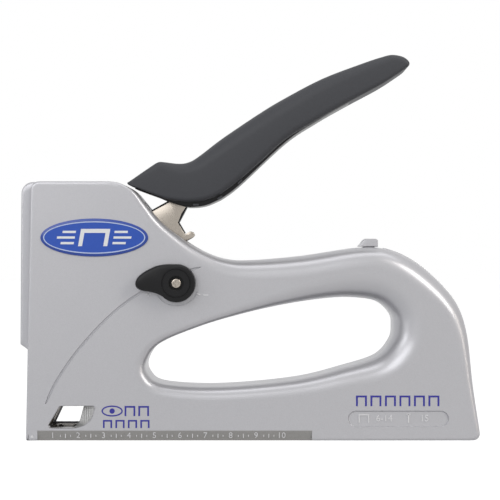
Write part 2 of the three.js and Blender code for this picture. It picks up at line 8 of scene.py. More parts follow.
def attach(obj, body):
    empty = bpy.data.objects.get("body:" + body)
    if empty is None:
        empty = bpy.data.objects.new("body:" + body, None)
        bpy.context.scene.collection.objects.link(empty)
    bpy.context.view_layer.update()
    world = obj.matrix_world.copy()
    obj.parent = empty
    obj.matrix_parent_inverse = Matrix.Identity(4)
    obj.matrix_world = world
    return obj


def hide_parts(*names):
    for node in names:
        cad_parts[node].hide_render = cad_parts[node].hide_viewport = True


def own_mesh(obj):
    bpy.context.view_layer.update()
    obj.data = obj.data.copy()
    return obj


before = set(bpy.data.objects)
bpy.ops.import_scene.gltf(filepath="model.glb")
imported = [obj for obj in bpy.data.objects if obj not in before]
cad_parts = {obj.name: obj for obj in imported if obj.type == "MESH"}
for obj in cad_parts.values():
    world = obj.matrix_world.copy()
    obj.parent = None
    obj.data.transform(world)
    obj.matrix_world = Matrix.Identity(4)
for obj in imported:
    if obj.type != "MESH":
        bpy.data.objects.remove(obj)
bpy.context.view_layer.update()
print("frame loaded")

# Shapes are worked in millimetres and turned to metres when a piece is finished.
# A side-view point is (x, z), with the radius of the edge there as a third number where it has one.


# ---- finishes

class Wire:
    # one output of a node, so that shader maths reads as an expression
    def __init__(self, finish, socket):
        self.finish = finish
        self.socket = socket

    def maths(self, operation, first, second):
        return self.finish.node("ShaderNodeMath", {"operation": operation}, {0: first, 1: second})

    def __add__(self, other):
        return self.maths("ADD", self, other)

    def __radd__(self, other):
        return self.maths("ADD", other, self)

    def __mul__(self, other):
        return self.maths("MULTIPLY", self, other)

    def __rmul__(self, other):
        return self.maths("MULTIPLY", other, self)


class Board:
    # a node tree round one shader, with a method that adds any other node
    def __init__(self, owner, shader, settings):
        owner.use_nodes = True
        self.tree = owner.node_tree
        self.shader = self.tree.nodes[shader]
        for socket, value in settings.items():
            self.shader.inputs[socket].default_value = value

    def node(self, kind, settings, sockets, output=0):
        made = self.tree.nodes.new(kind)
        for name, value in settings.items():
            setattr(made, name, value)
        for key, value in sockets.items():
            if isinstance(value, Wire):
                self.tree.links.new(value.socket, made.inputs[key])
            else:
                made.inputs[key].default_value = value
        return Wire(self, made.outputs[output])

    def feed(self, socket, wire):
        self.tree.links.new(wire.socket, self.shader.inputs[socket])

    # 1 where the camera, a reflection or something seen through glass looks at the surface
    def seen(self):
        camera, glossy, through = (self.node("ShaderNodeLightPath", {}, {}, kind)
                                   for kind in ("Is Camera Ray", "Is Glossy Ray", "Is Transmission Ray"))
        return camera.maths("MAXIMUM", camera, glossy.maths("MAXIMUM", glossy, through))


class Finish(Board):
    # a material round one Principled shader
    def __init__(self, name, settings):
        self.material = bpy.data.materials.new(name)
        super().__init__(self.material, "Principled BSDF", settings)

    def places(self):
        return self.node("ShaderNodeTexCoord", {}, {}, "Object")

    def noise(self, scale, detail=2.0):
        sockets = {"Vector": self.places(), "Scale": scale, "Detail": detail}
        return self.node("ShaderNodeTexNoise", {}, sockets)

    def blend(self, factor, first, second):
        sockets = {0: factor, 6: first, 7: second}
        return self.node("ShaderNodeMix", {"data_type": "RGBA"}, sockets, 2)

    def bump(self, height, strength, distance):
        sockets = {"Height": height, "Strength": strength, "Distance": distance}
        self.feed("Normal", self.node("ShaderNodeBump", {}, sockets))


def grey(value, warmth=0.0):
    return (value * (1 + warmth), value, value * (1 - warmth), 1)


def tinted(colour, share):
    return (colour[0] * share, colour[1] * share, colour[2] * share, 1)


# A grained finish: two shades in a fine grain, a little rougher in broad patches.
def grained(name, colour, spread, grain, roughness, metallic=0.0, grip=0.0, coat=0.0, specular=0.5):
    made = Finish(name, {"Metallic": metallic, "Coat Weight": coat, "Coat Roughness": 0.25,
                         "Specular IOR Level": specular})
    fine = made.noise(grain)
    broad = made.noise(55, 3)
    made.feed("Base Color", made.blend(fine, tinted(colour, 1 - spread), tinted(colour, 1 + spread)))
    made.feed("Roughness", roughness - 0.05 + 0.07 * broad + 0.05 * fine)
    if grip:
        made.bump(fine, grip, 0.00006)
    return made.material


finishes = {
    "silver": {"colour": (0.472, 0.473, 0.500), "roughness": 0.30, "metallic": 0.38},
    "band": {"colour": (0.30, 0.295, 0.29), "roughness": 0.45, "metallic": 0.3},
    "charcoal": {"colour": (0.041, 0.043, 0.050), "roughness": 0.52},
    "black": {"colour": (0.007, 0.007, 0.008), "roughness": 0.32},
    "nickel": {"colour": (0.36, 0.325, 0.285), "roughness": 0.26},
    "spring": {"colour": (0.27, 0.27, 0.28), "roughness": 0.3},
    "blue": {"colour": (0.005, 0.070, 0.46), "roughness": 0.28},
}

silver = grained("silverPaint", finishes["silver"]["colour"], 0.10, 3600,
                 finishes["silver"]["roughness"], finishes["silver"]["metallic"], 0.05)
# The rule band's darker, warmer colour is painted shade for its downward-sloping face.
bandPaintedShade = grained("ruleBandPaintedShade", finishes["band"]["colour"], 0.14, 2400,
                     finishes["band"]["roughness"], finishes["band"]["metallic"], 0.25)
# The raised marks are coloured lighter than the body: a painted highlight for the light that catches them.
markPaintedHighlight = grained("raisedMarkPaintedHighlight", (0.66, 0.66, 0.68), 0.05, 3600, 0.4, 0.3)
charcoal = grained("charcoalSoftTouch", finishes["charcoal"]["colour"], 0.12, 2600,
                   finishes["charcoal"]["roughness"], 0.0, 0.22, 0.0, 0.35)
blackSatin = grained("blackNylon", finishes["black"]["colour"], 0.2, 1800,
                     finishes["black"]["roughness"], 0.0, 0.1, 0.0, 0.2)
rubber = grained("blackRubber", (0.017, 0.017, 0.018), 0.2, 1500, 0.75, 0.0, 0.3)
nickel = grained("nickelPlate", finishes["nickel"]["colour"], 0.05, 900,
                 finishes["nickel"]["roughness"], 1.0)
springSteel = grained("oiledSteel", finishes["spring"]["colour"], 0.08, 1100,
                      finishes["spring"]["roughness"], 1.0)
blue = grained("badgeBlue", finishes["blue"]["colour"], 0.05, 1200,
               finishes["blue"]["roughness"], 0.0, 0.0, 0.15)
blueRim = grained("badgeRim", (0.005, 0.045, 0.32), 0.1, 1200, 0.35, 0.0, 0.0, 0.3)
ringPaint = grained("badgeRing", (0.50, 0.60, 0.82), 0.05, 1200, 0.35)
whiteInk = grained("whitePrint", (0.82, 0.84, 0.86), 0.03, 1500, 0.4)
blueInk = grained("bluePrint", (0.030, 0.028, 0.30), 0.06, 1500, 0.4)


# Fine ribs on the sloping floor of the window's recess.
def ribbedSilver():
    made = Finish("ribbedSilver", {"Metallic": 0.45})
    fine = made.noise(3600)
    ribs = made.node("ShaderNodeTexWave", {"bands_direction": "X"},
                     {"Vector": made.places(), "Scale": 420.0, "Distortion": 0.4})
    made.feed("Base Color", made.blend(fine, grey(0.38), grey(0.47)))
    made.feed("Roughness", 0.4 + 0.1 * fine)
    made.bump(ribs, 0.35, 0.0002)
    return made.material


windowFloor = ribbedSilver()
print("finishes made")


# ---- side-view lines

def arcPoints(centre, radius, start, end, steps, edge):
    points = []
    for i in range(steps + 1):
        angle = math.radians(start + (end - start) * i / steps)
        points.append((centre[0] + radius * math.cos(angle), centre[1] + radius * math.sin(angle), edge))
    return points


# A smooth run through the points, with so many steps from each to the next.
def smoothRun(points, steps, closed=False):
    vectors = [Vector(p) for p in points]
    count = len(vectors)
    spans = count if closed else count - 1
    pick = (lambda i: vectors[i % count]) if closed else (lambda i: vectors[min(max(i, 0), count - 1)])
    line = []
    for i in range(spans):
        a, b, c, d = pick(i - 1), pick(i), pick(i + 1), pick(i + 2)
        for k in range(steps):
            t = k / steps
            line.append(0.5 * (2 * b + (c - a) * t + (2 * a - 5 * b + 4 * c - d) * t * t
                               + (3 * b - a - 3 * c + d) * t ** 3))
    if not closed:
        line.append(vectors[-1])
    return [tuple(v) for v in line]


def straightRun(start, end, steps):
    a = Vector(start)
    b = Vector(end)
    return [tuple(a.lerp(b, i / steps)) for i in range(steps + 1)]


# The outline without points that repeat the one before.
def tidyLine(points):
    kept = []
    for p in points:
        if not kept or (Vector(p[:2]) - Vector(kept[-1][:2])).length > 0.02:
            kept.append(p)
    if (Vector(kept[0][:2]) - Vector(kept[-1][:2])).length < 0.02:
        kept.pop()
    return kept


# Unit normals in the side view that point out of the closed line, whichever way it runs.
def outwardNormals(line):
    count = len(line)
    area = sum(line[i - 1][0] * line[i][1] - line[i][0] * line[i - 1][1] for i in range(count))
    turn = 1 if area > 0 else -1
    flat = [Vector(p[:2]) for p in line]
    normals = []

    # the nearest point on either side that doesn't lie on this one
    def neighbour(i, way):
        others = (flat[(i + way * k) % count] for k in range(1, count))
        return next(other for other in others if (other - flat[i]).length > 0.02)

    for i, here in enumerate(flat):
        before = neighbour(i, -1)
        after = neighbour(i, 1)
        along = (after - here).normalized() + (here - before).normalized()
        normals.append(Vector((along.y, -along.x)).normalized() * turn)
    return normals


# ---- mesh helpers

def startRing(bm, places):
    ring = [bm.verts.new(place) for place in places]
    for i in range(len(ring)):
        bm.edges.new((ring[i - 1], ring[i]))
    return ring


def ringEdges(bm, ring):
    found = [bm.edges.get((ring[i - 1], ring[i])) for i in range(len(ring))]
    return [e for e in found if e]


# The ring's edges pulled out to new places, point for point.
def pullRing(bm, ring, places):
    made = bmesh.ops.extrude_edge_only(bm, edges=ringEdges(bm, ring))
    fresh = {v for v in made["geom"] if isinstance(v, bmesh.types.BMVert)}
    partner = {}
    for v in fresh:
        for edge in v.link_edges:
            other = edge.other_vert(v)
            if other not in fresh:
                partner[other] = v
    nextRing = [partner[v] for v in ring]
    for v, place in zip(nextRing, places):
        v.co = place
    return nextRing


def fillRings(bm, rings, index=0):
    edges = []
    for ring in rings:
        edges += ringEdges(bm, ring)
    made = bmesh.ops.triangle_fill(bm, use_beauty=True, normal=(0, 1, 0), edges=edges)
    for face in made["geom"]:
        if isinstance(face, bmesh.types.BMFace):
            face.material_index = index


# Fills between all the open loops that lie in a plane across Y.
def fillPlane(bm, y):
    bmesh.ops.remove_doubles(bm, verts=bm.verts, dist=0.002)
    edges = [e for e in bm.edges if e.is_boundary and all(abs(v.co.y - y) < 0.001 for v in e.verts)]
    bmesh.ops.triangle_fill(bm, use_beauty=True, normal=(0, 1, 0), edges=edges)


# Steps of a rounded edge: how far in from the line, and how far short of the face.
def edgeSteps(radius, steps):
    angles = [math.pi / 2 * k / steps for k in range(steps + 1)]
    return [(radius * (1 - math.cos(a)), radius * (1 - math.sin(a))) for a in angles]


def inset(line, normals, distances):
    return [(p[0] - n.x * d, p[1] - n.y * d) for p, n, d in zip(line, normals, distances)]


# A closed loop on a face, sunk by depth, with its own floor. facing is 1 on the near side, -1 on the far.
# lean draws the floor's outline in, and floor is its material number.
def sinkLoop(bm, line, y, depth, facing, lean=0.15, floor=0):
    normals = outwardNormals(line)
    places = [(x, y, z) for x, z in inset(line, normals, [0] * len(line))]
    rim = startRing(bm, places)
    floorLine = inset(line, normals, [lean] * len(line))
    bottom = pullRing(bm, rim, [(x, y + facing * depth, z) for x, z in floorLine])
    fillRings(bm, [bottom], floor)
    return rim


# A slab between two planes, both of whose rims are rounded by the radius each point carries.
def addSlab(bm, line, near, far, radius=None, steps=4, dents=(), farDents=(), index=0):
    line = tidyLine(line)
    normals = outwardNormals(line)
    radii = [radius if radius is not None else p[2] for p in line]
    profiles = [edgeSteps(r, steps) for r in radii]
    rings = []
    ring = None

    def place(step, plane, sign):
        return [(p[0] - n.x * q[step][0], plane + sign * q[step][1], p[1] - n.y * q[step][0])
                for p, n, q in zip(line, normals, profiles)]

    for step in reversed(range(steps + 1)):
        places = place(step, near, 1)
        ring = pullRing(bm, ring, places) if ring else startRing(bm, places)
        rings.append(ring)
    for step in range(steps + 1):
        ring = pullRing(bm, ring, place(step, far, -1))
        rings.append(ring)

    def sunk(d, plane, way):
        return sinkLoop(bm, d["line"], plane, way * d["depth"], 1, d.get("lean", 0.1), index)

    nearRims = [sunk(d, near, 1) for d in dents]
    farRims = [sunk(d, far, -1) for d in farDents]
    fillRings(bm, [rings[0]] + nearRims, index)
    fillRings(bm, [rings[-1]] + farRims, index)


def addBlock(bm, low, high, edge=0.0, index=0):
    made = bmesh.ops.create_cube(bm, size=1.0)
    size = [b - a for a, b in zip(low, high)]
    middle = [(a + b) / 2 for a, b in zip(low, high)]
    bmesh.ops.scale(bm, vec=size, verts=made["verts"])
    bmesh.ops.translate(bm, vec=middle, verts=made["verts"])
    if edge:
        edges = list({e for v in made["verts"] for e in v.link_edges})
        bmesh.ops.bevel(bm, geom=edges, offset=edge, offset_type="OFFSET", segments=2, profile=0.5,
                        affect="EDGES", material=-1)
    for v in made["verts"]:
        if v.is_valid:
            for face in v.link_faces:
                face.material_index = index


# A round bar along Y.
def addBar(bm, x, z, radius, near, far, sides=32):
    made = bmesh.ops.create_cone(bm, cap_ends=True, segments=sides, radius1=radius, radius2=radius,
                                 depth=far - near)
    bmesh.ops.rotate(bm, cent=(0, 0, 0), matrix=Matrix.Rotation(math.pi / 2, 3, "X"), verts=made["verts"])
    bmesh.ops.translate(bm, vec=(x, (near + far) / 2, z), verts=made["verts"])


# A thin round cord of metal laid along a side-view line, for raised marks.
def addBead(bm, line, y, width, height, index=0):
    outline = []
    for i, p in enumerate(line):
        before = Vector(line[max(i - 1, 0)][:2])
        after = Vector(line[min(i + 1, len(line) - 1)][:2])
        along = (after - before).normalized()
        outline.append((p, Vector((-along.y, along.x)) * width / 2))
    left = [(p[0] + n.x, p[1] + n.y) for p, n in outline]
    right = [(p[0] - n.x, p[1] - n.y) for p, n in reversed(outline)]
    addSlab(bm, left + right, y - height, y + 0.15, min(width, height) * 0.35, 1, index=index)


# Words or numbers as a raised mesh, put where matrix says.
def addWriting(bm, words, size, depth, matrix, index=0):
    curve = bpy.data.curves.new("writing", "FONT")
    curve.body = words
    curve.size = size
    curve.extrude = depth
    curve.resolution_u = 3
    curve.align_x = "CENTER"
    curve.align_y = "CENTER"
    thing = bpy.data.objects.new("writing", curve)
    bpy.context.scene.collection.objects.link(thing)
    bpy.context.view_layer.update()
    mesh = bpy.data.meshes.new_from_object(thing)
    bpy.data.objects.remove(thing)
    mesh.transform(matrix)
    before = set(bm.faces)
    bm.from_mesh(mesh)
    for face in bm.faces:
        if face not in before:
            face.material_index = index
    bpy.data.meshes.remove(mesh)


# The mesh to metres and into an object that rides a body and stands for CAD nodes.
def finishPiece(name, bm, materials, body, nodes=(), angle=32):
    bmesh.ops.remove_doubles(bm, verts=bm.verts, dist=0.002)
    bmesh.ops.dissolve_degenerate(bm, edges=bm.edges, dist=0.0005)
    bmesh.ops.recalc_face_normals(bm, faces=bm.faces)
    bmesh.ops.scale(bm, vec=(0.001, 0.001, 0.001), verts=bm.verts)
    mesh = bpy.data.meshes.new(name)
    bm.to_mesh(mesh)
    bm.free()
    mesh.shade_smooth()
    mesh.set_sharp_from_angle(angle=math.radians(angle))
    for material in materials:
        mesh.materials.append(material)
    piece = bpy.data.objects.new(name, mesh)
    bpy.context.scene.collection.objects.link(piece)
    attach(piece, body)
    if nodes:
        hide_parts(*nodes)
    return piece


# ---- the housing's two shells

shell = {
    "halfWidth": 13.5,
    "wall": 1.8,
    "seamGap": 0.1,
    "leverSlot": 4.9,
    "lockSlot": 2.5,
    "spineSeat": 4.3,
    "magazineSlot": 7.45,
    "noseOpening": 6.0,
    "coverSeat": 7.3,
    "bandFront": -84.8,
    "bandRear": 23.2,
    "bandHeight": 4.0,
    "bandDepth": 1.2,
    "edgeStepCount": 7,
    "support": 0.45,
    "farEdge": 5.5,
}

gripPoints = [
    (-26.7, 78.6, 4.2), (-18.9, 74.1, 4.9), (-10.8, 71.4, 6.0), (-1.2, 70.9, 7.0), (18.9, 72.6, 8.0),
    (43.0, 76.0, 7.6), (55.1, 74.6, 7.6), (67.1, 68.2, 7.6), (79.2, 56.1, 6.4), (84.4, 43.3, 5.0),
    (86.8, 21.6, 3.0), (89.1, 5.2, 1.8),
]


def housingLine():
    return tidyLine(
        straightRun((-89.38, 0.7, 0.7), (-87.5, 98.8, 1.0), 49)
        + arcPoints((-84.2, 98.8), 3.3, 178, 90, 6, 1.0)
        + straightRun((-83.7, 102.1, 1.0), (-57.0, 102.1, 1.2), 14)
        + smoothRun([(-57.0, 102.1, 1.2), (-52.9, 101.5, 1.4), (-48.4, 99.4, 1.6), (-45.6, 97.0, 1.8),
                     (-41.7, 92.3, 2.5), (-36.0, 85.8, 3.3)] + gripPoints, 8)
        + arcPoints((86.8, 2.6), 2.6, 10, -90, 6, 1.6)
        + straightRun((86.8, 0.0, 1.2), (shell["bandRear"], 0.0, 1.0), 30)
        + straightRun((shell["bandRear"], 0.0, 1.0), (shell["bandFront"], 0.0, 1.0), 54)
        + straightRun((shell["bandFront"], 0.0, 1.0), (-88.7, 0.0, 0.7), 3)
        + arcPoints((-88.7, 0.7), 0.7, 270, 181, 4, 0.7)
    )


# Half the opening at the seam, at a place on the housing's edge.
def seamOpening(x, z):
    if z < 0.4:
        return shell["magazineSlot"]
    if x < -86.5 and z < 97:
        return shell["noseOpening"]
    if x < -83.7 and z > 97:
        return shell["coverSeat"]
    if -43.5 < x < -20.5 and z > 60:
        return shell["leverSlot"]
    if 38.5 < x < 49 and z > 65:
        return shell["lockSlot"]
    if x > 52 and z > 43.3:
        return shell["spineSeat"]
    if x > 84 and z < 19:
        return shell["magazineSlot"]
    return shell["seamGap"]


def inRuleBand(x, z):
    return z < 0.2 and shell["bandFront"] < x < shell["bandRear"]


def holeLine():
    span = [
        (-42.3, 30.55, 4.0), (-36.9, 38.1, 3.0), (-21.0, 44.9, 2.6), (-5.2, 49.6, 3.4), (10.7, 53.2, 5.2),
        (26.6, 55.6, 7.6), (38.5, 56.2, 9.2), (49.1, 54.6, 10.2), (55.0, 49.6, 10.8), (56.0, 44.6, 11.0),
        (55.0, 39.2, 10.6), (49.1, 32.7, 9.4), (35.4, 28.2, 7.4), (19.2, 24.1, 6.2), (-1.2, 21.7, 5.6),
        (-19.7, 20.9, 5.2), (-35.8, 22.1, 4.6), (-41.1, 25.3, 4.2),
    ]
    return tidyLine(smoothRun(span, 8, closed=True))


# Rings from the flat side, round the edge to the seam, and back inside to the wall's inner face.
# towards is 1 for the outer edge and -1 for a hole's.
def edgeRings(bm, line, side, towards, banded):
    half = shell["halfWidth"]
    wall = shell["wall"]
    steps = shell["edgeStepCount"]
    count = len(line)
    rows = []
    for i, (p, normal) in enumerate(zip(line, outwardNormals(line))):
        kinds = []
        for q in (line[i - 1], line[(i + 1) % count]):
            x = (p[0] + q[0]) / 2
            z = (p[1] + q[1]) / 2
            gap = seamOpening(x, z) if towards == 1 else shell["seamGap"]
            kind = (gap, banded and inRuleBand(x, z))
            if kind not in kinds:
                kinds.append(kind)
        rows += [(p, normal, gap, inBand) for gap, inBand in kinds]

    # how far in from the edge each ring lies, and how far from the seam
    def profile(p, gap, inBand):
        radius = p[2] if side < 0 else min(p[2], shell["farEdge"])
        outside = [(away, half - short) for away, short in edgeSteps(radius, steps)]
        if inBand:
            share = [k / steps for k in range(steps + 1)]
            outside = [(shell["bandHeight"] * t, half - shell["bandDepth"] * (1 - t)) for t in share]
        outside.append((outside[-1][0] + shell["support"], half))
        innerSteps = edgeSteps(max(radius - wall, 0.3), steps)
        inside = [(wall + away, half - wall - short) for away, short in innerSteps]
        return outside[::-1] + [(0, gap), (wall, gap)] + inside

    profiles = [profile(p, gap, inBand) for p, _, gap, inBand in rows]
    for step in range(len(profiles[0])):
        places = []
        for (p, n, _, _), found in zip(rows, profiles):
            away = found[step][0] * towards
            places.append((p[0] - n.x * away, side * found[step][1], p[1] - n.y * away))
        ring = pullRing(bm, ring, places) if step else startRing(bm, places)


def capsuleLine(left, right, middle, half):
    return (arcPoints((left + half, middle), half, 90, 270, 12, 0)
            + arcPoints((right - half, middle), half, -90, 90, 12, 0))


def circleLine(x, z, radius, count=32):
    return arcPoints((x, z), radius, 0, 360, count, 0)[:-1]


# The groove that runs from the grip down behind the knob and along the nose.
def grooveLine():
    path = smoothRun([(-20.5, 68.3), (-24.2, 67.2), (-34.0, 63.0), (-43.7, 58.6), (-55.6, 49.8), (-68.1, 36.6),
                      (-76.9, 24.1), (-80.6, 16.6), (-81.6, 14.4)], 8)
    sides = ([], [])
    for i, p in enumerate(path):
        before = Vector(path[max(i - 1, 0)][:2])
        after = Vector(path[min(i + 1, len(path) - 1)][:2])
        along = (after - before).normalized()
        share = i / (len(path) - 1)
        width = 0.5 * min(1, 6 * (1 - share) + 0.15, 8 * share + 0.15)
        sides[0].append((p[0] - along.y * width, p[1] + along.x * width))
        sides[1].append((p[0] + along.y * width, p[1] - along.x * width))
    return sides[0] + list(reversed(sides[1]))


windowShape = {"lipDepth": 3.2}
dial = {"x": -30.0, "z": 62.0, "radius": 8.8, "width": 0.5, "start": 212, "end": 338, "depth": 0.5}
sizePanel = {"left": 37.3, "right": 77.0, "middle": 8.6, "half": 3.2, "depth": 0.55}


# The window: a slanted recess on the near side, whose right part slopes down to the opening.
def windowLines():
    rim = (arcPoints((-75.6, 12.7), 1.0, 160, 90, 4, 0)
           + straightRun((-73.4, 13.75, 0), (-63.0, 13.8, 0), 6)
           + arcPoints((-62.9, 12.9), 0.9, 80, -20, 4, 0)
           + smoothRun([(-62.3, 12.0, 0), (-63.3, 8.9, 0), (-65.9, 6.1, 0), (-69.6, 4.9, 0)], 4)
           + straightRun((-71.5, 4.8, 0), (-78.9, 4.8, 0), 4)
           + arcPoints((-79.6, 5.9), 1.1, 250, 170, 4, 0))
    opening = []
    rim = tidyLine(rim)
    for x, z, _ in rim:
        low = max(0, 1 - (z - 4.8) / 2.4)
        right = -69.3 + (z - 4.8) / 8.9 * 2.5 - 2.0 * low ** 2
        opening.append((min(x, right), min(max(z, 4.9), 13.6)))
    return rim, opening


# What is cut in the near side: the window's recess, the size panel and the groove.
def nearDetails(bm):
    face = -shell["halfWidth"]
    within = face + shell["wall"]
    deep = face + windowShape["lipDepth"]
    rim, opening = windowLines()
    edge = startRing(bm, [(x, face, z) for x, z, _ in rim])
    slanted = [(x + (0.25 if x < -74 else -0.35), z + (0.15 if z < 8 else -0.15)) for x, z, _ in rim]
    lip = pullRing(bm, edge, [(x, face + 0.35, z) for x, z in slanted])
    floor = pullRing(bm, lip, [(x, deep, z) for x, z in opening])
    floorSet = set(floor)
    for part in bm.faces:
        if sum(v in floorSet for v in part.verts) == 2 and part.calc_center_median().x > -71.5:
            part.material_index = 2
    normals = outwardNormals(rim)
    behind = pullRing(bm, floor, [(x, deep + 1.2, z) for x, z in opening])
    collar = [(x + n.x * 1.1, deep + 1.2, z + n.y * 1.1) for (x, z), n in zip(opening, normals)]
    behind = pullRing(bm, behind, collar)
    pullRing(bm, behind, [(p[0] + n.x, within, p[1] + n.y) for p, n in zip(rim, normals)])
    panel = capsuleLine(sizePanel["left"], sizePanel["right"], sizePanel["middle"], sizePanel["half"])
    sinkLoop(bm, panel, face, sizePanel["depth"], 1, 0.35)
    sinkLoop(bm, grooveLine(), face, 0.8, 1, 0.08)
    # the dial's arc under the knob
    centre = (dial["x"], dial["z"])
    outer = arcPoints(centre, dial["radius"] + dial["width"] / 2, dial["start"], dial["end"], 30, 0)
    inner = arcPoints(centre, dial["radius"] - dial["width"] / 2, dial["end"], dial["start"], 30, 0)
    sinkLoop(bm, [p[:2] for p in outer + inner], face, dial["depth"], 1, 0.05)


# What is cut in the far side: the window's opening, and a screw's recess over each boss.
def farDetails(bm, places):
    face = shell["halfWidth"]
    within = face - shell["wall"]
    corners = [(-80.7, 4.8), (-69.3, 4.8), (-66.8, 13.7), (-76.5, 13.7)]
    slot = []
    for i, corner in enumerate(corners):
        slot += straightRun((*corner, 0), (*corners[(i + 1) % 4], 0), 5)
    slot = tidyLine(slot)
    edge = startRing(bm, [(x, face, z) for x, z, _ in slot])
    pullRing(bm, edge, [(x, within, z) for x, z, _ in slot])
    for x, z in places:
        sinkLoop(bm, circleLine(x, z, 3.3), face, 3.6, -1, 0.1)
        sinkLoop(bm, circleLine(x, z, 4.6), within, 3.4, -1, 0.1)


screwPlaces = [(-62.0, 92.5), (-57.0, 30.0), (-7.881, 60.0), (60.0, 62.0), (71.0, 32.0)]


def buildShell(name, side):
    bm = bmesh.new()
    edgeRings(bm, housingLine(), side, 1, side < 0)
    edgeRings(bm, holeLine(), side, -1, False)
    if side < 0:
        nearDetails(bm)
    else:
        farDetails(bm, screwPlaces)
    fillPlane(bm, side * shell["halfWidth"])
    fillPlane(bm, side * (shell["halfWidth"] - shell["wall"]))
    # the rule band's faces get the band colour, which is painted shade
    if side < 0:
        outside = -shell["halfWidth"]
        for face in bm.faces:
            x, y, z = face.calc_center_median()
            inBand = shell["bandFront"] < x < shell["bandRear"] and z < shell["bandHeight"] + 0.02
            if inBand and outside + 0.01 < y < outside + shell["bandDepth"] + 0.1:
                face.material_index = 1
    finishPiece(name, bm, [silver, bandPaintedShade, windowFloor], "housing", [name])


buildShell("left_shell", -1)
buildShell("right_shell", 1)
print("shells made")


# ---- marks on the near shell

marks = {"raise": 0.22, "digitSize": 3.4, "tickWidth": 0.3, "ruleZero": -88.8, "panelWriting": 3.6}


def upright(x, y, z):
    return Matrix.Translation((x, y, z)) @ Matrix.Rotation(math.pi / 2, 4, "X")


def staplePoints(x, z, width, height, wire):
    w = width / 2
    return [(x - w, z), (x - w, z + height), (x + w, z + height), (x + w, z), (x + w - wire, z),
            (x + w - wire, z + height - wire), (x - w + wire, z + height - wire), (x - w + wire, z)]


def buildMarks():
    bm = bmesh.new()
    slope = math.atan2(shell["bandDepth"], shell["bandHeight"])
    onBand = Matrix.Rotation(math.pi / 2 + slope, 4, "X")
    for centimetre in range(1, 11):
        x = marks["ruleZero"] + 10 * centimetre
        place = Matrix.Translation((x, -12.92, 2.05)) @ onBand
        addWriting(bm, str(centimetre), marks["digitSize"], marks["raise"], place)
        if centimetre < 10:
            for k in (3, 5, 7):
                tall = 0.8 if k == 5 else 0.35
                half = marks["tickWidth"] / 2
                addBlock(bm, (x + k - half, -13.15, 1.9 - tall), (x + k + half, -12.6, 1.9 + tall))
    # a tick at the right end of the dial's arc, and plus and minus marks
    y = -shell["halfWidth"]
    start = dial["radius"]
    end = start + 1.6
    tick = [(dial["x"] + r * 0.89, dial["z"] - r * 0.45) for r in (start, end)]
    addBead(bm, tick, y, 0.45, marks["raise"])
    addBlock(bm, (-42.2, y - marks["raise"], 57.5), (-40.2, y + 0.1, 57.9))
    addBlock(bm, (-41.4, y - marks["raise"], 56.7), (-41.0, y + 0.1, 58.7))
    addBlock(bm, (-19.6, y - marks["raise"], 57.1), (-17.6, y + 0.1, 57.5))
    # the foot's small pointer above the rule's start
    addSlab(bm, [(-87.6, 1.2), (-86.2, 1.2), (-86.9, 2.6)], y - marks["raise"], y + 0.1, 0.05, 1)
    # the size panel: a staple and a brad with the leg lengths they may have
    floor = y + sizePanel["depth"]
    addSlab(bm, staplePoints(43.6, 7.1, 4.2, 3.3, 0.5), floor - 0.35, floor + 0.1, 0.08, 1)
    addBlock(bm, (60.9, floor - 0.35, 7.0), (61.4, floor + 0.1, 10.4))
    addBlock(bm, (60.4, floor - 0.35, 10.1), (61.9, floor + 0.1, 10.6))
    for words, x in (("6-14", 51.6), ("15", 67.4)):
        addWriting(bm, words, marks["panelWriting"], 0.3, upright(x, floor, 8.7))
    # the marks' lighter colour is a painted highlight
    finishPiece("raised_marks", bm, [markPaintedHighlight], "housing")


# Printed pictures: an eye over a row of staples by the window, and a strip of staples by the size panel.
def buildPrint():
    bm = bmesh.new()
    y = -shell["halfWidth"]

    def printed(line):
        addSlab(bm, line, y - 0.06, y + 0.1, 0.02, 1)

    turns = [math.radians(8 * k) for k in range(46)]
    eye = [(-55.4 + 3.9 * math.cos(a), 11.7 + 1.9 * math.sin(a)) for a in turns]
    addBead(bm, eye, y, 0.55, 0.06)
    printed([p[:2] for p in circleLine(-55.4, 11.7, 1.05, 20)])
    for i in range(2):
        printed(staplePoints(-48.4 + 5.4 * i, 9.7, 4.2, 4.0, 0.7))
    for i in range(4):
        printed(staplePoints(-57.2 + 4.9 * i, 5.0, 3.6, 3.2, 0.65))
    for i in range(6):
        printed(staplePoints(42.6 + 5.7 * i, 13.6, 4.3, 4.2, 0.75))
    finishPiece("blue_print", bm, [blueInk], "housing")


buildMarks()
buildPrint()
print("marks made")


# ---- front cover, rear spine and screws

cover = {"halfWidth": 7.0, "edge": 1.2}


def buildCover():
    bm = bmesh.new()
    line = (straightRun((-92.6, 37.5), (-89.05, 35.0), 2)
            + straightRun((-88.9, 35.0), (-87.85, 98.5), 20)
            + straightRun((-87.2, 99.1), (-84.0, 99.1), 2)
            + [(-84.0, 102.1)]
            + [p[:2] for p in arcPoints((-87.5, 97.4), 4.7, 90, 180, 10, 0)]
            + straightRun((-92.2, 97.4), (-92.6, 37.5), 20))
    edged = [(x, z, 0.3 if x > -84.5 or z < 35.5 else cover["edge"] if x < -90 or z > 99.5 else 0.5)
             for x, z in tidyLine(line)]
    addSlab(bm, edged, -cover["halfWidth"], cover["halfWidth"], None, 4)
    addBlock(bm, (-90.4, -5.5, 40.0), (-86.3, 5.5, 96.0), 0.2)
    finishPiece("front_cover", bm, [silver], "housing", ["front_cover"])


def buildSpine():
    bm = bmesh.new()
    line = smoothRun(gripPoints, 12)
    edge = [p for p in line if p[0] >= 52 and p[1] >= 43.4]
    out = []
    for i, p in enumerate(edge):
        before = Vector(edge[max(i - 1, 0)][:2])
        after = Vector(edge[min(i + 1, len(edge) - 1)][:2])
        along = (after - before).normalized()
        out.append((p, Vector((-along.y, along.x))))
    high = [(p[0] + n.x * 0.4, p[1] + n.y * 0.4) for p, n in out]
    low = [(p[0] - n.x * 0.8, p[1] - n.y * 0.8) for p, n in reversed(out)]
    addSlab(bm, high + low, -4.0, 4.0, 0.25, 2)
    finishPiece("rear_spine", bm, [silver], "housing", ["rear_spine"])


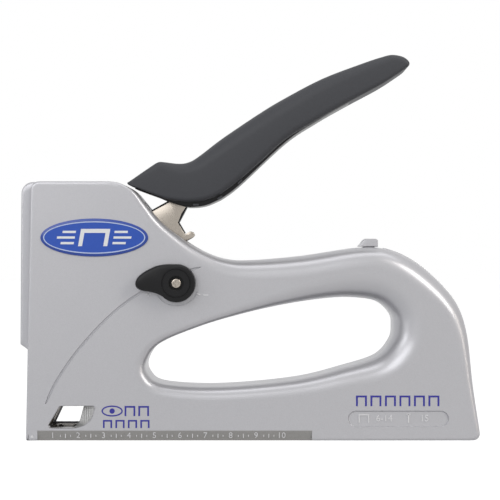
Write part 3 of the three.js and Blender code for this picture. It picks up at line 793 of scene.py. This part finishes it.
def crossLine(x, z, reach, half):
    return [(x - reach, z - half), (x - half, z - half), (x - half, z - reach), (x + half, z - reach),
            (x + half, z - half), (x + reach, z - half), (x + reach, z + half), (x + half, z + half),
            (x + half, z + reach), (x - half, z + reach), (x - half, z + half), (x - reach, z + half)]


def buildScrews():
    for i, (x, z) in enumerate(screwPlaces):
        bm = bmesh.new()
        cross = {"line": crossLine(x, z, 1.7, 0.38), "depth": 1.3, "lean": 0.06}
        addSlab(bm, circleLine(x, z, 2.8), 9.95, 12.5, 0.7, 4, farDents=[cross])
        addBar(bm, x, z, 1.4, -9.0, 10.2, 16)
        name = "shell_screw_%d" % (i + 1)
        finishPiece(name, bm, [nickel], "housing", [name])


buildCover()
buildSpine()
buildScrews()
print("cover, spine and screws made")


# ---- badge

badge = {"x": -62.4, "z": 79.9, "halfLength": 21.2, "halfHeight": 7.5, "thickness": 0.5}


def ovalLine(shrink, count=72):
    a = badge["halfLength"] - shrink
    b = badge["halfHeight"] - shrink
    turns = [2 * math.pi * i / count for i in range(count)]
    return [(badge["x"] + a * math.cos(t), badge["z"] + b * math.sin(t)) for t in turns]


def buildBadge():
    bm = bmesh.new()
    back = -shell["halfWidth"] - 0.03
    top = back - badge["thickness"]
    rings = [(0, back), (0, top + 0.25), (0.08, top + 0.08), (0.25, top), (1.15, top), (1.2, top - 0.02),
             (1.5, top - 0.02), (1.55, top), (1.8, top)]
    kinds = [1, 1, 1, 1, 2, 2, 2, 0]
    ring = None
    for k, (shrink, y) in enumerate(rings):
        places = [(x, y, z) for x, z in ovalLine(shrink)]
        if ring is None:
            ring = startRing(bm, places)
            fillRings(bm, [ring], 1)
            continue
        before = set(bm.faces)
        ring = pullRing(bm, ring, places)
        for face in bm.faces:
            if face not in before:
                face.material_index = kinds[k - 1]
    fillRings(bm, [ring], 0)
    finishPiece("badge_plate", bm, [blue, blueRim, ringPaint], "housing", ["label_badge"])


# A leaning staple with three short lines on each side, in white.
def buildBadgePicture():
    bm = bmesh.new()
    y = -shell["halfWidth"] - 0.03 - badge["thickness"]
    x = badge["x"]
    z = badge["z"]

    def leaning(points):
        return [(px + 0.18 * (pz - z), pz) for px, pz in points]

    addSlab(bm, leaning(staplePoints(x, z - 3.4, 11.5, 6.8, 1.6)), y - 0.05, y + 0.1, 0.02, 1)
    for side in (-1, 1):
        for k, reach in ((-1, 5.2), (0, 7.0), (1, 5.2)):
            near = x + side * 7.6
            far = x + side * (7.6 + reach)
            low = z + 2.2 * k - 0.45
            corners = [(min(near, far), low), (max(near, far), low), (max(near, far), low + 0.9),
                       (min(near, far), low + 0.9)]
            addSlab(bm, leaning(corners), y - 0.05, y + 0.1, 0.02, 1)
    finishPiece("badge_picture", bm, [whiteInk], "housing")


buildBadge()
buildBadgePicture()
print("badge made")


# ---- handle, its core and the steel lever

handle = {"halfWidth": 12.5, "coreHalf": 9.5, "leverHalf": 4.4, "plate": 1.5}


def handleLine():
    over = smoothRun([(-48.9, 101.9, 0.5), (-43.6, 105.7, 1.6), (-38.6, 109.2, 2.6)], 4)
    brow = smoothRun([(-38.6, 109.2, 2.6), (-37.2, 109.8, 2.8), (-35.4, 109.8, 3.2), (-29.3, 109.2, 4.4),
                      (-25.3, 109.9, 5.0), (-21.3, 112.3, 5.4), (-13.3, 118.5, 6.0), (-5.2, 124.1, 6.2),
                      (2.8, 129.4, 6.2), (10.9, 134.3, 6.0), (26.9, 142.7, 5.2), (43.0, 148.8, 4.2),
                      (51.0, 151.4, 3.6), (55.1, 152.2, 3.0), (59.1, 151.4, 2.4), (61.4, 149.6, 1.6),
                      (61.6, 147.9, 1.2), (59.9, 146.4, 1.2)], 6)
    under = smoothRun([(59.9, 146.4, 1.2), (51.1, 140.6, 1.6), (38.5, 133.8, 2.0), (25.9, 126.7, 2.2),
                       (13.4, 119.1, 2.4), (3.8, 110.6, 2.4), (-4.8, 103.1, 2.4), (-11.5, 98.0, 2.2),
                       (-14.6, 96.3, 2.0), (-18.5, 94.8, 2.0), (-22.6, 94.1, 2.0), (-27.0, 94.0, 1.8),
                       (-32.7, 94.8, 1.4), (-36.7, 96.0, 1.0), (-43.0, 98.4, 0.7), (-49.3, 100.8, 0.4)], 6)
    tip = arcPoints((-49.0, 101.3), 0.55, 235, 130, 4, 0.4)
    return tidyLine(over + brow + under + tip)


def coreLine():
    under = smoothRun([(51.1, 140.9), (38.5, 133.8), (25.9, 126.5), (13.4, 118.2), (-4.8, 101.3), (-11.5, 96.1),
                       (-14.6, 94.4), (-18.5, 92.8), (-22.6, 92.1), (-27.0, 92.2), (-32.7, 93.9), (-37.4, 95.8),
                       (-42.6, 97.7), (-46.8, 99.3)], 6)
    over = smoothRun([(-46.0, 101.5), (-37.0, 105.2), (-28.0, 105.7), (-18.0, 112.0), (-5.0, 120.5),
                      (10.0, 129.5), (30.0, 139.0), (49.0, 145.0)], 5)
    return tidyLine(under + over)


def buildGrip():
    bm = bmesh.new()
    addSlab(bm, handleLine(), -handle["halfWidth"], handle["halfWidth"], None, 8)
    finishPiece("handle_grip", bm, [charcoal], "handle", ["handle_grip"], 40)


def buildCore():
    bm = bmesh.new()
    half = handle["coreHalf"]
    addSlab(bm, coreLine(), -half, half, 0.9, 3)
    finishPiece("grip_core", bm, [blackSatin], "handle", ["grip_core"], 40)


# Three small clips that hold the cover round the core's heel.
def buildClips():
    bm = bmesh.new()
    for x, z, lean in ((-22.6, 92.9, 0), (-13.1, 95.7, 32), (-5.2, 102.0, 43)):
        before = set(bm.verts)
        addBlock(bm, (-1.1, -10.1, -0.35), (1.1, -9.3, 0.45), 0.15)
        fresh = [v for v in bm.verts if v not in before]
        turn = Matrix.Rotation(math.radians(-lean), 3, "Y")
        bmesh.ops.rotate(bm, cent=(0, 0, 0), matrix=turn, verts=fresh)
        bmesh.ops.translate(bm, vec=(x, 0, z), verts=fresh)
    finishPiece("cover_clips", bm, [charcoal], "handle")


def fromPivot(points):
    return [(-44 + x, 80.5 + z) for x, z in points]


def leverLine():
    toe = (-72.67, 60.42)
    line = [p[:2] for p in arcPoints(toe, 2.8, 125, 305, 12, 0)]
    line += fromPivot([(-7, -7.2)])
    line += [p[:2] for p in arcPoints((-44, 80.5), 7, 255, 290, 5, 0)]
    line += fromPivot([(14, -4.2), (16, -3.1), (17.5, -1.8), (19, -1.0), (20, -0.4), (20.6, 0.3), (20.5, 0.9),
                       (20.0, 1.7), (19.1, 2), (17.9, 1.4), (16.9, 0.7), (14, 5.4), (15.4, 9.0), (17.9, 12.9),
                       (23, 17.6), (34, 25.5), (57, 39.5), (54, 45), (29, 29.5), (13, 21.5), (10.6, 13.6),
                       (3.5, 9.7), (-3, 7.5), (-8, 2.6)])
    return tidyLine(line)


def buildLever():
    bm = bmesh.new()
    half = handle["leverHalf"]
    inside = half - handle["plate"]
    pin = {"line": circleLine(-44, 80.5, 2.75), "depth": 0.4}
    addSlab(bm, leverLine(), -half, -inside, 0.25, 2, dents=[pin])
    addSlab(bm, leverLine(), inside, half, 0.25, 2, farDents=[pin])
    web = fromPivot([(3.9, 8.4), (11.7, 12.8), (14.2, 20.4), (29.8, 28.3), (50, 41), (49.4, 42.2), (29, 29.5),
                     (13, 21.5), (10.6, 13.6), (3.4, 9.6)])
    addSlab(bm, web, -inside - 0.2, inside + 0.2, 0.1, 1)
    finishPiece("lever_arm", bm, [nickel], "handle", ["lever_arm"])


# A black piece between the lever's plates, which shows as a thin dark line along its edges.
def buildGuard():
    bm = bmesh.new()
    line = fromPivot([(2.4, 9.9), (10.3, 14.3), (11.5, 15.6), (18.6, 14.0), (18.3, 12.7), (14.5, 5.5),
                      (16.9, 1.4), (15.6, 0.2), (10.0, 4.0)])
    addSlab(bm, line, -2.6, 2.6, 0.15, 1)
    finishPiece("lever_dark_piece", bm, [blackSatin], "handle")


buildGrip()
buildCore()
buildClips()
buildLever()
buildGuard()
print("handle made")


# ---- power knob

knob = {"x": dial["x"], "z": dial["z"], "radius": 7.5, "back": -13.8, "face": -19.3}


def knobLine():
    x = knob["x"]
    z = knob["z"]
    tail = smoothRun([(x - 0.6, z + 7.48), (x - 4.0, z + 7.45), (x - 7.3, z + 6.95), (x - 10.4, z + 5.7),
                      (x - 13.1, z + 4.1), (x - 15.1, z + 2.3), (x - 16.0, z + 0.3), (x - 15.5, z - 1.7),
                      (x - 13.3, z - 2.9), (x - 10.2, z - 3.4), (x - 7.4, z - 4.2), (x - 5.3, z - 5.3)], 5)
    return tidyLine([*tail, *[p[:2] for p in arcPoints((x, z), knob["radius"], 230, 444, 36, 0)]])


def buildKnob():
    bm = bmesh.new()
    x = knob["x"]
    z = knob["z"]
    face = knob["face"]
    line = knobLine()
    normals = outwardNormals(line)
    # the ring groove and the middle recess are cut in the face, one inside the other
    steps = [(0, knob["back"]), (0, face + 1.5), (0.2, face + 0.75), (0.75, face + 0.2), (1.5, face)]
    ring = None
    for away, y in steps:
        places = [(px, y, pz) for px, pz in inset(line, normals, [away] * len(line))]
        if ring is None:
            ring = startRing(bm, places)
            fillRings(bm, [ring])
            continue
        ring = pullRing(bm, ring, places)
    outerGroove = startRing(bm, [(px, face, pz) for px, pz, _ in circleLine(x, z, 5.75, 48)])
    fillRings(bm, [ring, outerGroove])
    for radius, y in ((5.65, face + 0.35), (5.35, face + 0.35), (5.25, face), (3.0, face), (2.8, face + 0.2),
                      (2.75, face + 2.1)):
        outerGroove = pullRing(bm, outerGroove, [(px, y, pz) for px, pz, _ in circleLine(x, z, radius, 48)])
    fillRings(bm, [outerGroove])
    finishPiece("power_knob", bm, [blackSatin], "knob", ["power_knob"], 30)


def buildKnobScrew():
    bm = bmesh.new()
    cross = {"line": crossLine(knob["x"], knob["z"], 1.3, 0.42), "depth": 1.2, "lean": 0.05}
    head = circleLine(knob["x"], knob["z"], 1.93)
    addSlab(bm, head, knob["face"] + 0.5, knob["face"] + 2.1, 0.45, 3, dents=[cross])
    addBar(bm, knob["x"], knob["z"], 1.1, knob["face"] + 1.9, -11.3, 16)
    finishPiece("knob_screw", bm, [nickel], "knob", ["knob_screw"])


buildKnob()
buildKnobScrew()
print("knob made")


# ---- handle lock and drawer end

def buildLock():
    bm = bmesh.new()
    tab = [(41.9, 76.35), (43.0, 77.4), (44.0, 78.9), (44.9, 79.5), (49.2, 79.5), (49.9, 78.9), (49.9, 76.3)]
    addSlab(bm, tab, -4.5, 4.5, 0.45, 3)
    addBlock(bm, (44.1, -2.2, 71.5), (48.7, 2.2, 77.3), 0.2)
    addBlock(bm, (43.1, -4.5, 70.8), (49.7, 4.5, 72.9), 0.3)
    finishPiece("handle_lock", bm, [silver], "lock", ["handle_lock"], 28)


drawer = {"front": 79.3, "rear": 87.0, "half": 7.15, "low": 0.4, "top": 18.6}


def buildDrawerEnd():
    bm = bmesh.new()
    d = drawer
    outline = [(-d["half"], d["low"]), (d["half"], d["low"]), (d["half"], d["top"]), (-d["half"], d["top"])]
    opening = [(-2.8, 8.0), (2.8, 8.0), (2.8, 15.3), (-2.8, 15.3)]
    # worked as a slab facing -Y and then turned to face the rear
    dent = {"line": opening, "depth": 3.2, "lean": 0.05}
    addSlab(bm, outline, 0.0, d["rear"] - d["front"], 0.6, 3, dents=[dent])
    bmesh.ops.rotate(bm, cent=(0, 0, 0), matrix=Matrix.Rotation(math.pi / 2, 3, "Z"), verts=bm.verts)
    bmesh.ops.translate(bm, vec=(d["rear"], 0, 0), verts=bm.verts)
    finishPiece("drawer_end", bm, [blackSatin], "magazine", ["drawer_end"])


def buildLatch():
    bm = bmesh.new()
    addBlock(bm, (84.0, -2.5, 10.5), (88.2, 2.5, 14.8), 0.4)
    for k in range(3):
        addBlock(bm, (88.0, -2.1, 11.3 + 1.2 * k), (88.5, 2.1, 11.8 + 1.2 * k), 0.1)
    finishPiece("magazine_latch", bm, [rubber], "latch", ["magazine_latch"])


buildLock()
buildDrawerEnd()
buildLatch()
print("lock and drawer end made")


# ---- springs, copied from the frame's meshes onto their bodies

springs = {
    "main_spring": {"body": "housing", "joint": "plunger_lift", "axis": 2, "still": "high", "travel": 0.0172},
    "pusher_spring": {"body": "magazine", "joint": "pusher_slide", "axis": 0, "still": "high", "travel": 0.12},
    "latch_spring": {"body": "magazine", "joint": "magazine_latch_press", "axis": 2, "still": "low",
                     "travel": 0.002},
}


def buildSpring(name, values):
    bm = bmesh.new()
    bm.from_mesh(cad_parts[name].data)
    bmesh.ops.scale(bm, vec=(1000, 1000, 1000), verts=bm.verts)
    piece = finishPiece(name, bm, [springSteel], values["body"], [name], 50)
    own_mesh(piece)


for name, values in springs.items():
    buildSpring(name, values)
print("springs made")


# ---- pieces of the frame that show as they are

carried = {
    "nose_plate": nickel, "plunger": springSteel, "driver_blade": springSteel, "bumper": rubber,
    "spring_cap": blackSatin, "lever_pivot_pin": nickel, "lift_roller": springSteel,
    "roller_pin": nickel, "grip_rivet_1": nickel, "grip_rivet_2": nickel, "power_shaft": springSteel,
    "magazine_channel": nickel, "magazine_rail": nickel, "pusher": blackSatin, "pusher_rod": springSteel,
}
for name, material in carried.items():
    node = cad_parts[name]
    node.data.materials.clear()
    node.data.materials.append(material)
print("carried pieces painted")


# ---- floor, light and camera

studio = {"floor": 0.30, "floorGlow": 0.90, "world": 0.26}
lamps = {
    "topLamp": {"place": (0.05, -0.12, 0.75), "aim": (0, 0, 0.06), "size": (0.7, 0.25), "power": 1.0,
                "tint": (1, 1, 1)},
    "frontLamp": {"place": (-0.35, -0.75, 0.45), "aim": (0, 0, 0.06), "size": (0.5, 0.5), "power": 2.2,
                  "tint": (1, 1, 1)},
    "leftLamp": {"place": (-0.7, -0.35, 0.30), "aim": (-0.05, 0, 0.06), "size": (0.25, 0.5), "power": 1.2,
                 "tint": (1, 1, 1)},
    "sideLamp": {"place": (0.5, -0.45, 0.45), "aim": (0.04, 0, 0.06), "size": (0.16, 0.4), "power": 2.1,
                 "tint": (1.0, 0.96, 0.90)},
    "edgeLamp": {"place": (0.75, -0.35, 0.16), "aim": (0.06, 0, 0.05), "size": (0.12, 0.4), "power": 0.6,
                 "tint": (1.0, 0.90, 0.76)},
}
view = {"place": (-0.0012, -0.6135, 0.075), "lens": 109.9, "sensor": 36}


def buildFloor():
    bm = bmesh.new()
    bmesh.ops.create_grid(bm, x_segments=1, y_segments=1, size=3.0)
    mesh = bpy.data.meshes.new("studio_floor")
    bm.to_mesh(mesh)
    bm.free()
    made = Finish("floorPaper", {"Roughness": 0.9, "Base Color": grey(studio["floor"]),
                                 "Emission Color": (1, 1, 1, 1), "Specular IOR Level": 0.1})
    made.feed("Emission Strength", made.seen() * studio["floorGlow"])
    mesh.materials.append(made.material)
    floor = bpy.data.objects.new("studio_floor", mesh)
    bpy.context.scene.collection.objects.link(floor)


def addLamp(name, values):
    light = bpy.data.lights.new(name, "AREA")
    light.shape = "RECTANGLE"
    light.size, light.size_y = values["size"]
    light.energy = values["power"]
    light.color = values["tint"]
    lamp = bpy.data.objects.new(name, light)
    lamp.location = values["place"]
    towards = Vector(values["aim"]) - Vector(values["place"])
    lamp.rotation_euler = towards.to_track_quat("-Z", "Y").to_euler()
    bpy.context.scene.collection.objects.link(lamp)


def buildWorld():
    world = bpy.data.worlds.new("studio")
    bpy.context.scene.world = world
    made = Board(world, "Background", {"Color": (1, 1, 1, 1)})
    made.feed("Strength", studio["world"] + (1 - studio["world"]) * made.seen())


def buildCamera():
    lens = bpy.data.cameras.new("camera")
    lens.lens = view["lens"]
    lens.sensor_width = view["sensor"]
    camera = bpy.data.objects.new("camera", lens)
    camera.location = view["place"]
    camera.rotation_euler = (math.pi / 2, 0, 0)
    bpy.context.scene.collection.objects.link(camera)
    bpy.context.scene.camera = camera


buildFloor()
for name, values in lamps.items():
    addLamp(name, values)
buildWorld()
buildCamera()
bpy.context.scene.view_settings.view_transform = "Standard"
print("studio made")
